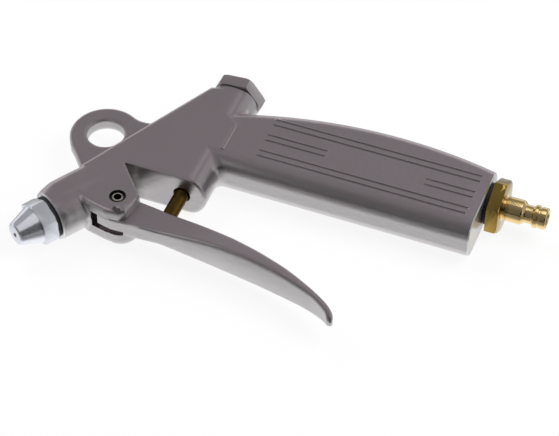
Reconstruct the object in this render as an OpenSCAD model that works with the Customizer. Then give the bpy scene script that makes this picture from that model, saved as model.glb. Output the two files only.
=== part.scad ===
// Pneumatic air duster: a cast aluminium pistol body with a push-stem valve, a pivoted lever,
// a screwed-in steel nozzle and a brass quick-coupling plug.
// Millimetres. +X runs along the grip and out of the air inlet, +Y runs along the valve axis
// towards the valve cap, and +Z is across the flat sides. The origin is on the inlet axis, in
// the middle of the plug's collar. Inside the modules the lever's pivot is the datum.

/* [Body casting] */
// Thickness across the flat sides
body_t = 16; // [14:0.5:20]
// Cast rounding along the long edges
body_round = 2; // [0.6:0.1:2.4]
// Distance from the pivot to the valve axis, along the grip
valve_x = 16.3; // [15:0.1:20]
// Height of the notch's flat underside above the pivot
notch_y = 15.2; // [13:0.1:18]
// Length of the valve boss, from the notch to the seat of the cap
valve_boss_len = 46.4; // [43:0.1:54]
// Diameter of the valve boss
valve_boss_d = 17.3; // [16.5:0.1:22]
// Angle from the grip axis to the barrel axis
barrel_angle = 58.5; // [54:0.5:62]
// Distance from the pivot to the barrel axis
barrel_off = 12.3; // [11.5:0.1:15]
// Distance from the pivot forward to the face of the front boss, along the barrel
barrel_lead = 19.2; // [17:0.1:24]
// Diameter of the front boss at its face
boss_d = 17; // [15.5:0.1:20]
// Angle from the grip axis to the top edge of the body
top_angle = 62.5; // [60:0.5:65]
// Distance from the pivot to the top edge of the body
top_off = 20.3; // [19:0.1:23]

/* [Hanging eye] */
// Thickness of the eye's plate
eye_t = 5; // [4:0.1:7]
// Diameter of the hole
eye_hole_d = 12.8; // [10:0.1:15]
// Width of metal round the hole
eye_ring_w = 6.0; // [4.5:0.1:7]
// Distance from the top edge to the centre of the hole
eye_rise = 10.1; // [9:0.1:13]
// Distance from the pivot's foot on the top edge to the centre, along that edge
eye_along = 18.6; // [16:0.1:24]

/* [Lever ears] */
// Diameter of the pivot pin
pin_d = 4; // [3:0.1:4.8]
// Bore of the hollow pivot pin
pin_bore_d = 2.7; // [1.5:0.1:2.8]
// Radius of the ears' rounded tips
ear_tip_r = 6.2; // [5.4:0.1:7]
// Free space beside the lever in the ears, both sides together
ear_play = 1.9; // [0.4:0.1:2.2]

/* [Grip] */
// Length of the grip, from the valve axis to its end face
grip_len = 96.2; // [80:0.1:120]
// Thickness across the grip
grip_t = 15.6; // [14.6:0.1:18]
// Depth of the grip where its back is highest
grip_depth = 35.5; // [33:0.1:42]
// Height of the grip's straight front side above the pivot
grip_front_y = 27.6; // [25:0.1:31]
// Radius of the arched back
grip_back_r = 165; // [140:1:240]
// Distance from the valve axis to the highest place of the back
grip_peak = 60.7; // [48:0.1:74]
// Cast rounding of the four long edges
grip_round = 5.6; // [4.5:0.1:6.4]

/* [Grip grooves] */
// Width of a groove
groove_w = 0.9; // [0.6:0.05:1.4]
// Depth of a groove
groove_depth = 0.45; // [0.3:0.05:0.6]
// Distance between the two grooves of a pair
groove_gap = 2.6; // [2:0.1:3]
// Distance between neighbouring pairs
groove_pitch = 7.75; // [6.8:0.05:8.4]
// Height of the middle pair above the grip's front side
groove_mid = 16; // [15:0.1:18]
// Distance from the valve axis to the front ends of the grooves
groove_start = 19.6; // [16:0.1:24]
// Distance from the end face to the rear ends of the grooves
groove_end = 3.4; // [2:0.1:6]
// Length of the middle pair's front stretch
groove_front_len = 21; // [14:0.5:26]
// Length of the middle pair's rear stretch
groove_rear_len = 16.5; // [10:0.5:22]

/* [Lever] */
// Thickness of the lever's web and hub
lever_t = 6.1; // [5:0.1:7.4]
// Reach of the lever from the pivot to its tip, along the grip
lever_reach = 82.1; // [70:0.5:100]
// Fall of the lever's tip below the pivot
lever_drop = 20.6; // [17:0.5:28]
// Width of the finger paddle at its widest
lever_w = 12.4; // [10:0.1:15]
// Height of the web at the hub
lever_h = 11.8; // [10.8:0.1:12.6]
// Radius of the hub
hub_r = 5.6; // [5:0.1:6]
// Shift of the lever towards one ear, within its side play
lever_shift = 0.8; // [0:0.05:0.85]
// Turn of the lever from rest to fully pulled, in degrees
lever_turn = 14; // [8:0.5:15]

/* [Valve] */
// Diameter of the stem where it is guided
stem_d = 5; // [4.2:0.1:6]
// Stroke of the stem
stem_stroke = 4; // [3.2:0.05:4.8]
// Bore of the valve seat
seat_d = 7.4; // [7.2:0.1:8.8]
// Length of the lower guide bush
bush_len = 10; // [8:0.5:12]
// Length of the upper guide bush, which holds the stem's seal ring down
gland_len = 3; // [2:0.1:4]
// Section of the stem's seal ring
oring_w = 1.5; // [1.2:0.05:1.5]
// Diameter of the disc seal that closes the seat
disc_d = 10; // [9.2:0.1:10.6]
// Thickness of the disc seal
disc_h = 1.8; // [1.4:0.1:2.4]
// Mean diameter of the spring's coils
spring_d = 7.4; // [7:0.1:8]
// Diameter of the spring wire
spring_wire = 0.9; // [0.7:0.05:1]
// Turns of the spring, its two end turns included
spring_turns = 7; // [5:1:8]

/* [Valve cap] */
// Width across the flats of the cap
cap_af = 17; // [16:0.5:21]
// Height of the cap's hexagon
cap_hex_h = 4.6; // [4:0.1:7]
// Diameter of the cap's screwed part
cap_screw_d = 13.2; // [12.4:0.1:14]
// Length of the cap's screwed part, below the hexagon
cap_screw_len = 6.2; // [5:0.1:7]
// Thickness of the sealing ring under the cap
cap_ring_h = 0.7; // [0.5:0.1:1.5]

/* [Nozzle] */
// Width across the flats of the nozzle
nozzle_af = 14; // [13:0.5:16]
// Length of the nozzle's hexagon
nozzle_hex_h = 5.1; // [4:0.1:7]
// Length of the cone in front of the hexagon
nozzle_cone_len = 7.6; // [5:0.1:12]
// Diameter of the nozzle's tip
nozzle_tip_d = 8.1; // [6:0.1:10]
// Diameter of the outlet
outlet_d = 1.6; // [1:0.1:3]
// Diameter of the nozzle's screwed part
nozzle_screw_d = 11.8; // [10:0.1:12]
// Length of the nozzle's screwed part
nozzle_screw_len = 8; // [6:0.5:9]
// Thickness of the sealing ring behind the nozzle's hexagon
nozzle_ring_h = 1; // [0.6:0.1:1.5]

/* [Inlet plug] */
// Height of the inlet axis above the pivot
inlet_y = 49; // [48:0.1:50.5]
// Width across the flats of the plug
plug_af = 17; // [15:0.5:19]
// Length of the plug's hexagon
plug_hex_h = 4.6; // [4:0.1:7]
// Diameter of the collar that a coupling seals and locks on
collar_d = 8.4; // [7.8:0.1:11]
// Length of the collar
collar_len = 5.8; // [4:0.1:9]
// Diameter of the locking groove's floor
lock_groove_d = 6.2; // [5.8:0.1:7]
// Diameter of the plug's tip
plug_tip_d = 7.4; // [6.4:0.1:9]
// Bore of the plug
plug_bore_d = 4.8; // [3:0.1:5]
// Diameter of the plug's screwed part
plug_screw_d = 12.8; // [11:0.1:13]
// Length of the plug's screwed part
plug_screw_len = 9; // [7:0.5:12]
// Thickness of the sealing ring in front of the grip
plug_ring_h = 1.7; // [0.8:0.1:2]

/* [Hidden] */
$fn = 72;

cast_colour = [0.46, 0.42, 0.44];
steel_colour = [0.74, 0.75, 0.78];
brass_colour = [0.72, 0.56, 0.25];
rubber_colour = [0.08, 0.08, 0.09];

// Clearances and the overrun that every cut uses
over = 0.5;
screw_clear = 0.05;
press_clear = 0.01;
run_clear = 0.05;
touch_gap = 0.05;
arch_play = 0.02;
loose_clear = 0.6;

// Facets of the hulls and of the lever's skin
corner_sides = 32;
boss_sides = 48;
edge_steps = 3;
lever_rings = 26;
lever_sides = 28;
wire_sides = 6;
turn_rings = 20;

valve_top = notch_y + valve_boss_len;
grip_end = valve_x + grip_len;
grip_top_y = grip_front_y + grip_depth;
plug_hex_x = grip_end + plug_ring_h;
plug_neck_len = 0.6;
collar_x = plug_hex_x + plug_hex_h + plug_neck_len;
origin_x = collar_x + collar_len / 2;

// Directions in the flat plane: along and beside the barrel, along and off the top edge
function heading(a) = [cos(a), sin(a)];
barrel_dir = heading(barrel_angle);
barrel_side = heading(barrel_angle - 90);
top_dir = heading(top_angle);
top_out = heading(top_angle + 90);
function barrel_point(back, beside) =
    barrel_dir * (back - barrel_lead) + barrel_side * (beside - barrel_off);
function top_point(along, out) = top_dir * along + top_out * (top_off + out);

// Places every module by the pivot, so that the inlet's collar carries the origin
module from_pivot() { translate([-origin_x, -inlet_y, 0]) children(); }
module along_x() { rotate([0, 90, 0]) children(); }
module along_y() { rotate([-90, 0, 0]) children(); }
module along_barrel(back) {
    place = barrel_point(back, 0);
    translate([place[0], place[1], 0]) rotate([0, 90, barrel_angle]) children();
}
module on_valve_axis(height) { translate([valve_x, height, 0]) along_y() children(); }
module on_inlet_axis(x) { translate([x, inlet_y, 0]) along_x() children(); }
module hexagon(af, h) {
    rotate([0, 0, 30]) cylinder(d = af / cos(30), h = h, $fn = 6);
}
module tube(outer, inner, h) {
    difference() {
        cylinder(d = outer, h = h);
        translate([0, 0, -over]) cylinder(d = inner, h = h + 2 * over);
    }
}

// A flat slab with rounded edges. Each corner is [place, radius in plan, edge rounding].
module slab(corners, t) {
    hull() for (c = corners) translate([c[0][0], c[0][1], 0])
        for (k = [0:edge_steps]) {
            a = 90 * k / edge_steps;
            cylinder(r = c[1] - c[2] + c[2] * sin(a), h = t - 2 * c[2] * (1 - cos(a)),
                center = true, $fn = corner_sides);
        }
}

// BODY CASTING
crisp_round = 0.5;
ear_round = 1.5;
ear_tip_round = 2.2;
ear_inset = 1;
ear_lift = 0.4;
fold_back = 8.8;
boss_taper_len = 15;
boss_edge = 0.5;
boss_lip = 0.6;
boss_run_along = 4;
boss_run_r = 3;
boss_square_back = 5;
boss_square_r = 5.6;
ear_top_back = 9;
front_corner_along = 4;
eye_round = 1.3;
eye_root_r = 2;
eye_root_front = 0.4;
eye_root_rear = 37.2;
eye_edge = 0.4;
top_corner_r = 3;
top_corner_drop = 0.6;
top_corner_along = (valve_top - top_corner_drop - top_corner_r
    - (top_off - top_corner_r) * top_out[1]) / top_dir[1];
slot_w = lever_t + ear_play;
hub_room = 1.6;
slot_r = hub_r + hub_room;
heel_gap = 1.2;
tap_runout = 1.5;
nozzle_socket_len = nozzle_screw_len + tap_runout;
plug_socket_len = plug_screw_len + tap_runout;
outlet_passage_d = 4;
inlet_passage_d = 6;
bead_r = 0.45;
bead_back = 7.4;
bead_rise = 5.6;
bead_len = 11.4;
bead_x = valve_x + bead_back;
bead_low = grip_front_y + bead_rise;
countersink = 0.9;
chamber_d = cap_screw_d;

ear_tip = [1.2, -1.2];
function ear_corners() = [
    [ear_tip, ear_tip_r, ear_tip_round],
    [[ear_tip[0] - ear_tip_r - ear_round, notch_y - ear_lift], ear_round, ear_round],
    [top_point(ear_top_back, -body_round), body_round, body_round],
    [top_point(front_corner_along, -body_round), body_round, body_round],
    [barrel_point(fold_back + ear_round, -boss_d / 4), ear_round, ear_round],
    [barrel_point(fold_back + ear_round, boss_d / 2 - ear_round - ear_inset),
        ear_round, ear_round]];
function wedge_corners() = [
    [top_point(front_corner_along, -body_round), body_round, body_round],
    [top_point(top_corner_along, -top_corner_r), top_corner_r, body_round],
    [[valve_x, valve_top - top_corner_drop - crisp_round], crisp_round, crisp_round],
    [[valve_x, notch_y + crisp_round], crisp_round, crisp_round],
    [[ear_tip[0] - ear_tip_r, notch_y + crisp_round], crisp_round, crisp_round]];
function eye_corners() = [
    [top_point(eye_along, eye_rise), eye_hole_d / 2 + eye_ring_w, eye_round],
    [top_point(eye_root_front + eye_root_r, -eye_root_r), eye_root_r, eye_round],
    [top_point(eye_root_rear - eye_root_r, -eye_root_r), eye_root_r, eye_round]];

// The valve boss is round, with its two sides cast flush with the body's flats
module valve_boss() {
    intersection() {
        on_valve_axis(notch_y) cylinder(d = valve_boss_d, h = valve_boss_len);
        translate([0, 0, -body_t / 2]) linear_extrude(body_t)
            translate([valve_x - valve_boss_d, 0]) square([2 * valve_boss_d, 2 * valve_top]);
    }
}

// The round front boss runs out into the square top edge of the body
module front_boss() {
    hull() {
        along_barrel(0) cylinder(d1 = boss_d - 2 * boss_edge, d2 = boss_d, h = boss_edge,
            $fn = boss_sides);
        along_barrel(boss_taper_len) cylinder(d = boss_d, h = boss_lip, $fn = boss_sides);
        for (side = [-1, 1]) along_barrel(boss_square_back)
            translate([side * (boss_d / 2 - boss_square_r), boss_d / 2 - boss_square_r, 0])
                cylinder(r = boss_square_r, h = boss_lip, $fn = boss_sides);
        corner = top_point(boss_run_along, -boss_run_r);
        translate([corner[0], corner[1], 0])
            for (k = [0:edge_steps]) {
                a = 90 * k / edge_steps;
                cylinder(r = boss_run_r * sin(a), h = body_t - 2 * boss_run_r * (1 - cos(a)),
                    center = true, $fn = corner_sides);
            }
    }
}

// The grip's outline across its thickness, from its rounded edge inwards
module edge_profile(depth, t) {
    flat = t / 2 - grip_round;
    translate([-depth, -t / 2]) square([depth - grip_round, t]);
    translate([-depth, -flat]) square([depth, 2 * flat]);
    for (side = [-1, 1]) translate([-grip_round, side * flat]) circle(r = grip_round);
}

// The straight front of the grip is an extrusion; its arched back turns about a far centre
arch_from = 50;
module grip_blank() {
    intersection() {
        translate([valve_x, grip_front_y, 0]) rotate([90, 0, 90])
            linear_extrude(grip_len) mirror([1, 0]) edge_profile(2 * grip_depth, grip_t);
        translate([valve_x + grip_peak, grip_top_y - grip_back_r, 0])
            rotate([0, 0, arch_from]) rotate_extrude(angle = 180 - 2 * arch_from, $fn = 360)
                translate([grip_back_r, 0])
                edge_profile(2 * grip_depth, grip_t + arch_play);
    }
}

// One round-bottomed groove with ball ends, on both sides of the grip
module groove(x, y, len) {
    r = (groove_w * groove_w / 4 + groove_depth * groove_depth) / (2 * groove_depth);
    for (side = [-1, 1]) translate([x, y, side * (grip_t / 2 - groove_depth + r)]) {
        along_x() cylinder(r = r, h = len, $fn = 24);
        for (end = [0, len]) translate([end, 0, 0]) sphere(r = r, $fn = 24);
    }
}

module grooves() {
    first = valve_x + groove_start;
    last = grip_end - groove_end;
    for (row = [-1, 0, 1], twin = [-1, 1]) {
        y = grip_front_y + groove_mid + row * groove_pitch + twin * groove_gap / 2;
        if (row == 0) {
            groove(first, y, groove_front_len);
            groove(last - groove_rear_len, y, groove_rear_len);
        } else groove(first, y, last - first);
    }
}

// Bead where the grip leaves the body's flat
module bead() {
    for (side = [-1, 1]) translate([bead_x, bead_low, side * grip_t / 2]) {
        along_y() cylinder(r = bead_r, h = bead_len, $fn = 24);
        for (end = [0, bead_len]) translate([0, end, 0]) sphere(r = bead_r, $fn = 24);
    }
}

// The space between the ears: round about the hub, then open towards the notch
module lever_slot() {
    wall = heading(barrel_angle + 90) * slot_r;
    rise = notch_y - wall[1];
    low = ear_tip[1] - 2 * ear_tip_r;
    translate([0, 0, -slot_w / 2]) linear_extrude(slot_w) {
        circle(r = slot_r);
        polygon([[-slot_r, 0], [-slot_r, low], [valve_x + valve_boss_d, low],
            [valve_x + valve_boss_d, notch_y], [wall[0] + rise / tan(barrel_angle), notch_y],
            wall]);
    }
}

// Heights of the valve's inner steps, from the notch up. One bore holds the stem's seal ring and
// the two bushes.
bush_d = stem_d + 2 * oring_w;
stem_hole_d = stem_d + 2 * loose_clear;
notch_floor = 3;
bush_y = notch_y + notch_floor;
oring_y = bush_y + bush_len;
gland_y = oring_y + oring_w + 2 * touch_gap;
gland_top = gland_y + gland_len;
chamber_len = 13.6;
seat_y = valve_top - chamber_len;
seat_land = 1.4;
chamber_step = 0.8;
outlet_chamber_d = bush_d + 2 * chamber_step;

module valve_bores() {
    on_valve_axis(notch_y - over) cylinder(d = stem_hole_d, h = bush_y - notch_y + 2 * over);
    on_valve_axis(bush_y) cylinder(d = bush_d + 2 * press_clear, h = gland_top - bush_y);
    on_valve_axis(gland_top - over)
        cylinder(d = seat_d, h = seat_y - gland_top + 2 * over);
    on_valve_axis(gland_top + over)
        cylinder(d = outlet_chamber_d, h = seat_y - seat_land - gland_top - over);
    on_valve_axis(seat_y) cylinder(d = chamber_d + 2 * screw_clear, h = valve_top - seat_y + over);
}

module passages() {
    along_barrel(-over) cylinder(d = nozzle_screw_d + 2 * screw_clear,
        h = nozzle_socket_len + over);
    along_barrel(nozzle_socket_len - over) cylinder(d = outlet_passage_d,
        h = (valve_x - barrel_point(nozzle_socket_len, 0)[0]) / cos(barrel_angle)
            - outlet_chamber_d / 2);
    on_inlet_axis(grip_end - plug_socket_len) cylinder(d = plug_screw_d + 2 * screw_clear,
        h = plug_socket_len + over);
    translate([valve_x, max(inlet_y, seat_y + inlet_passage_d / 2 + over), 0]) along_x()
        cylinder(d = inlet_passage_d, h = grip_len - plug_socket_len + over);
}

module pin_hole() {
    cylinder(d = pin_d + 2 * press_clear, h = 2 * body_t, center = true);
    for (side = [0, 1]) mirror([0, 0, side])
        translate([0, 0, body_t / 2 - countersink])
            cylinder(d1 = pin_d + 2 * press_clear, d2 = pin_d + 2 * countersink + over,
                h = countersink + over / 2);
}

module eye_hole() {
    place = top_point(eye_along, eye_rise);
    translate([place[0], place[1], 0]) {
        cylinder(d = eye_hole_d, h = 2 * eye_t, center = true);
        for (side = [0, 1]) mirror([0, 0, side]) translate([0, 0, eye_t / 2 - eye_edge])
            cylinder(d1 = eye_hole_d, d2 = eye_hole_d + 2 * (eye_edge + over),
                h = eye_edge + over);
    }
}

module body_casting() {
    color(cast_colour) from_pivot() difference() {
        union() {
            slab(wedge_corners(), body_t);
            slab(ear_corners(), body_t);
            slab(eye_corners(), eye_t);
            valve_boss();
            front_boss();
            grip_blank();
            bead();
        }
        lever_slot();
        valve_bores();
        passages();
        pin_hole();
        eye_hole();
        grooves();
    }
}

// TRIGGER LEVER
// The spine is a smooth curve of five points from the pivot to the tip. Heights and widths are
// shares along it.
spine_start_drop = 1.3;
spine_reach_shares = [0, 0.268, 0.458, 1.03, 1];
spine_drop_shares = [0, 0.064, -0.056, 0.623, 1];
height_shares = [[0, 1], [0.16, 0.84], [0.21, 0.79], [0.31, 0.76], [0.46, 0.62],
    [0.65, 0.4], [0.8, 0.22], [0.93, 0.2], [0.98, 0.18], [1, 0.11]];
base_shares = [[0, 0.45], [0.2, 0.49], [0.28, 0.66], [0.37, 0.84], [0.45, 0.95], [0.54, 1],
    [0.65, 0.96], [0.79, 0.77], [0.92, 0.5], [0.97, 0.38], [1, 0.2]];
crest_shares = [[0, 0.45], [0.2, 0.47], [0.28, 0.54], [0.37, 0.64], [0.45, 0.73], [0.54, 0.79],
    [0.65, 0.79], [0.79, 0.65], [0.92, 0.44], [0.97, 0.33], [1, 0.18]];
squareness = 5;
web_share = 0.3;
heel_run = slot_r - heel_gap;

function between(p, t) = [for (i = [0:len(p) - 2]) p[i] * (1 - t) + p[i + 1] * t];
function bezier(p, t) = len(p) == 1 ? p[0] : bezier(between(p, t), t);
function bezier_slope(p, t) =
    (len(p) - 1) * bezier([for (i = [0:len(p) - 2]) p[i + 1] - p[i]], t);
spine = [for (i = [0:len(spine_reach_shares) - 1]) [spine_reach_shares[i] * lever_reach,
    -spine_start_drop - spine_drop_shares[i] * (lever_drop - spine_start_drop)]];
function bulge(c) = sign(c) * pow(abs(c), 2 / squareness);
function lever_width(t, shares) = t < web_share
    ? max(lever_t, lever_w * lookup(t, shares)) : lever_w * lookup(t, shares);
function lever_point(t, a) =
    let (c = bezier(spine, t), d = bezier_slope(spine, t), n = [-d[1], d[0]] / norm(d),
        v = bulge(sin(a)), base = lever_width(t, base_shares),
        crest = lever_width(t, crest_shares),
        half = (base + crest) / 4 - v * (base - crest) / 4,
        high = v * lever_h * lookup(t, height_shares) / 2)
    [c[0] + n[0] * high, c[1] + n[1] * high, bulge(cos(a)) * half];

module lever_skin() {
    n = lever_sides;
    points = [for (i = [0:lever_rings], k = [0:n - 1])
        lever_point(i / lever_rings, 360 * k / n)];
    walls = [for (i = [0:lever_rings - 1], k = [0:n - 1])
        let (a = i * n + k, b = i * n + (k + 1) % n)
        each [[a, b + n, a + n], [a, b, b + n]]];
    caps = [[for (k = [n - 1:-1:0]) k], [for (k = [0:n - 1]) lever_rings * n + k]];
    polyhedron(points = points, faces = concat(walls, caps));
}

module trigger_lever() {
    color(cast_colour) from_pivot() translate([0, 0, lever_shift]) difference() {
        union() {
            lever_skin();
            cylinder(r = hub_r, h = lever_t, center = true);
            translate([-heel_run, -spine_start_drop - lever_h / 2, -lever_t / 2])
                cube([heel_run + hub_r / 2, spine_start_drop + lever_h / 2, lever_t]);
        }
        cylinder(d = pin_d + 2 * run_clear, h = 2 * lever_t, center = true);
    }
}

// PIVOT PIN: a hollow spring pin, slit along one side, set back from both faces
pin_recess = 0.3;
pin_slit = 0.5;
pin_edge = 0.4;
slit_angle = 35;
module pivot_pin() {
    half = body_t / 2 - pin_recess;
    color(steel_colour) from_pivot() difference() {
        union() {
            cylinder(d = pin_d, h = 2 * (half - pin_edge), center = true);
            for (side = [0, 1]) mirror([0, 0, side]) translate([0, 0, half - pin_edge])
                cylinder(d1 = pin_d, d2 = pin_d - pin_edge, h = pin_edge);
        }
        cylinder(d = pin_bore_d, h = body_t + over, center = true);
        rotate([0, 0, slit_angle]) translate([0, -pin_slit / 2, -body_t])
            cube([pin_d, pin_slit, 2 * body_t]);
    }
}

// NOZZLE, measured forward from the face of the front boss
nozzle_bore_d = 6;
nozzle_neck_d = 10.2;
nozzle_neck_len = 1.6;
nozzle_base_gap = 0.3;
nozzle_tip_edge = 0.4;
hex_edge = 0.5;
nozzle_turn = 34.7;
module nozzle() {
    hex_at = nozzle_ring_h + 2 * touch_gap;
    cone_at = hex_at + nozzle_hex_h;
    tip_at = cone_at + nozzle_cone_len;
    color(steel_colour) from_pivot() along_barrel(0) mirror([0, 0, 1]) difference() {
        union() {
            translate([0, 0, -nozzle_screw_len])
                cylinder(d = nozzle_screw_d, h = nozzle_screw_len - nozzle_neck_len);
            translate([0, 0, -nozzle_neck_len - over])
                cylinder(d = nozzle_neck_d, h = nozzle_neck_len + hex_at + 2 * over);
            translate([0, 0, hex_at]) intersection() {
                rotate([0, 0, nozzle_turn]) hexagon(nozzle_af, nozzle_hex_h);
                cylinder(d1 = nozzle_af + 2 * hex_edge, d2 = nozzle_af / cos(30) + 2 * nozzle_hex_h,
                    h = nozzle_hex_h);
            }
            translate([0, 0, cone_at - over])
                cylinder(d = nozzle_af - 2 * nozzle_base_gap, h = over);
            translate([0, 0, cone_at]) cylinder(d1 = nozzle_af - 2 * nozzle_base_gap,
                d2 = nozzle_tip_d, h = nozzle_cone_len - nozzle_tip_edge);
            translate([0, 0, tip_at - nozzle_tip_edge]) cylinder(d1 = nozzle_tip_d,
                d2 = nozzle_tip_d - 2 * nozzle_tip_edge, h = nozzle_tip_edge);
        }
        translate([0, 0, -nozzle_screw_len - over])
            cylinder(d = nozzle_bore_d, h = nozzle_screw_len + cone_at + over);
        translate([0, 0, cone_at - touch_gap])
            cylinder(d1 = nozzle_bore_d, d2 = outlet_d, h = nozzle_cone_len / 2);
        translate([0, 0, cone_at]) cylinder(d = outlet_d, h = nozzle_cone_len + over);
    }
}

module nozzle_seal_ring() {
    color(rubber_colour) from_pivot() along_barrel(-touch_gap - nozzle_ring_h)
        tube(nozzle_af + 4 * hex_edge - over, nozzle_neck_d + 2 * screw_clear, nozzle_ring_h);
}

// VALVE CAP: hollow, so that its screwed part guides the spring
pocket_play = 1.5;
cap_pocket_d = spring_d + spring_wire + pocket_play;
cap_roof = 2.2;
cap_turn = 25;
cap_edge = 0.35;
cap_hex_at = valve_top + cap_ring_h + 2 * touch_gap;
module valve_cap() {
    color(cast_colour) from_pivot() on_valve_axis(cap_hex_at) difference() {
        union() {
            intersection() {
                rotate([0, 0, cap_turn]) hexagon(cap_af, cap_hex_h);
                union() {
                    cylinder(d = 2 * cap_af, h = cap_hex_h - cap_edge);
                    translate([0, 0, cap_hex_h - cap_edge]) cylinder(
                        d1 = cap_af / cos(30), d2 = cap_af / cos(30) - 4 * cap_edge, h = cap_edge);
                }
            }
            translate([0, 0, -cap_screw_len]) cylinder(d = cap_screw_d, h = cap_screw_len + over);
        }
        translate([0, 0, -cap_screw_len - over])
            cylinder(d = cap_pocket_d, h = cap_screw_len + over + cap_hex_h - cap_roof);
    }
}

module cap_seal_ring() {
    color(rubber_colour) from_pivot() on_valve_axis(valve_top + touch_gap)
        tube(valve_boss_d - over, cap_screw_d + 2 * screw_clear, cap_ring_h);
}

// MOVING VALVE: the stem's flange, the disc seal and the spring seat, stacked on a thin shank
flange_h = 1.4;
flange_play = 1.2;
flange_d = seat_d - flange_play;
shank_d = 3;
waist_d = 3.6;
stem_dome_r = 4;
seat_cup_h = 1.2;
seat_cup_rim = 0.7;
seat_cup_d = spring_d + spring_wire + seat_cup_rim;
spigot_play = 0.8;
spigot_d = spring_d - spring_wire - spigot_play;
spigot_h = 2.2;
disc_y = seat_y + touch_gap;
cup_y = disc_y + disc_h;
stem_foot = 2.93;
module valve_stem() {
    flange_y = disc_y - flange_h;
    color(brass_colour) from_pivot() {
        on_valve_axis(stem_foot) intersection() {
            cylinder(d = stem_d, h = gland_top - stem_foot);
            translate([0, 0, stem_dome_r]) union() {
                sphere(r = stem_dome_r);
                cylinder(r = stem_dome_r, h = valve_boss_len);
            }
        }
        on_valve_axis(gland_top) cylinder(d = waist_d, h = flange_y - gland_top);
        on_valve_axis(flange_y) cylinder(d = flange_d, h = flange_h);
        on_valve_axis(disc_y) cylinder(d = shank_d, h = disc_h + seat_cup_h + spigot_h);
    }
}

module disc_seal() {
    color(rubber_colour) from_pivot() on_valve_axis(disc_y)
        tube(disc_d, shank_d + 2 * press_clear, disc_h);
}

module spring_seat() {
    color(brass_colour) from_pivot() on_valve_axis(cup_y) {
        tube(seat_cup_d, shank_d + 2 * press_clear, seat_cup_h);
        translate([0, 0, seat_cup_h]) tube(spigot_d, shank_d + 2 * press_clear, spigot_h);
    }
}

// VALVE SPRING: closed end turns and even working turns between them, as one swept wire
spring_y = cup_y + seat_cup_h;
spring_len = cap_hex_at + cap_hex_h - cap_roof - spring_y - 2 * touch_gap;
function coil_rise(t) =
    let (lift = spring_len - 3 * spring_wire - touch_gap, work = spring_turns - 2,
        w = min(max(t - 1, 0), work))
    spring_wire / 2 + min(t, 1) * (spring_wire + touch_gap)
        + w / work * (lift - touch_gap) + max(t - 1 - work, 0) * (spring_wire + touch_gap);
module valve_spring() {
    rings = spring_turns * turn_rings;
    points = [for (i = [0:rings], k = [0:wire_sides - 1])
        let (a = 360 * i / turn_rings, b = 360 * k / wire_sides,
            r = spring_d / 2 + spring_wire / 2 * cos(b))
        [r * cos(a), r * sin(a), coil_rise(i / turn_rings) + spring_wire / 2 * sin(b)]];
    walls = [for (i = [0:rings - 1], k = [0:wire_sides - 1])
        let (a = i * wire_sides + k, b = i * wire_sides + (k + 1) % wire_sides)
        each [[a, a + wire_sides, b + wire_sides], [a, b + wire_sides, b]]];
    caps = [[for (k = [0:wire_sides - 1]) k],
        [for (k = [wire_sides - 1:-1:0]) rings * wire_sides + k]];
    color(steel_colour) from_pivot() on_valve_axis(spring_y + touch_gap)
        polyhedron(points = points, faces = concat(walls, caps));
}

module stem_seal_ring() {
    color(rubber_colour) from_pivot() on_valve_axis(oring_y + touch_gap + oring_w / 2)
        rotate_extrude() translate([stem_d / 2 + press_clear + oring_w / 2, 0])
            circle(d = oring_w, $fn = 24);
}

module lower_guide_bush() {
    color(brass_colour) from_pivot() on_valve_axis(bush_y + touch_gap)
        tube(bush_d, stem_d + 2 * run_clear, bush_len - touch_gap);
}

module upper_guide_bush() {
    color(brass_colour) from_pivot() on_valve_axis(gland_y)
        tube(bush_d, stem_d + 2 * run_clear, gland_len - touch_gap);
}

// INLET PLUG, measured outward from the end face of the grip
plug_turn = 25;
plug_neck_d = 7.4;
collar_edge = 1;
lock_groove_len = 2.6;
rib_rise_len = 0.8;
rib_d = 7.9;
rib_len = 1.1;
rib_groove_d = 6.8;
rib_groove_len = 0.6;
tip_len = 2.4;
tip_edge = 0.3;
plug_neck_in_d = 11.2;
plug_neck_in_len = 1.5;
module plug_nipple() {
    collar_at = collar_x - plug_hex_x;
    cone_at = collar_at + collar_len;
    groove_at = cone_at + collar_edge;
    rise_at = groove_at + lock_groove_len;
    rib_at = rise_at + rib_rise_len;
    narrow_at = rib_at + rib_len;
    tip_at = narrow_at + rib_groove_len;
    root = plug_hex_h - over;
    rotate_extrude() polygon([[plug_bore_d / 2, root], [plug_neck_d / 2, root],
        [plug_neck_d / 2, collar_at], [collar_d / 2, collar_at], [collar_d / 2, cone_at],
        [collar_d / 2 - collar_edge, groove_at], [lock_groove_d / 2, groove_at],
        [lock_groove_d / 2, rise_at], [rib_d / 2, rib_at], [rib_d / 2, narrow_at],
        [rib_groove_d / 2, narrow_at], [rib_groove_d / 2, tip_at], [plug_tip_d / 2, tip_at],
        [plug_tip_d / 2, tip_at + tip_len - tip_edge],
        [plug_tip_d / 2 - tip_edge, tip_at + tip_len], [plug_bore_d / 2, tip_at + tip_len]]);
}

module inlet_plug() {
    color(brass_colour) from_pivot() on_inlet_axis(plug_hex_x) {
        difference() {
            union() {
                intersection() {
                    rotate([0, 0, plug_turn]) hexagon(plug_af, plug_hex_h);
                    cylinder(d1 = plug_af / cos(30) + 2 * plug_hex_h,
                        d2 = plug_af + 2 * hex_edge, h = plug_hex_h);
                }
                translate([0, 0, -plug_ring_h - plug_neck_in_len])
                    cylinder(d = plug_neck_in_d, h = plug_ring_h + plug_neck_in_len + over);
                translate([0, 0, -plug_ring_h - plug_screw_len])
                    cylinder(d = plug_screw_d, h = plug_screw_len - plug_neck_in_len);
            }
            translate([0, 0, -plug_ring_h - plug_screw_len - over]) cylinder(d = plug_bore_d,
                h = plug_screw_len + plug_ring_h + plug_hex_h + 2 * over);
        }
        plug_nipple();
    }
}

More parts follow.
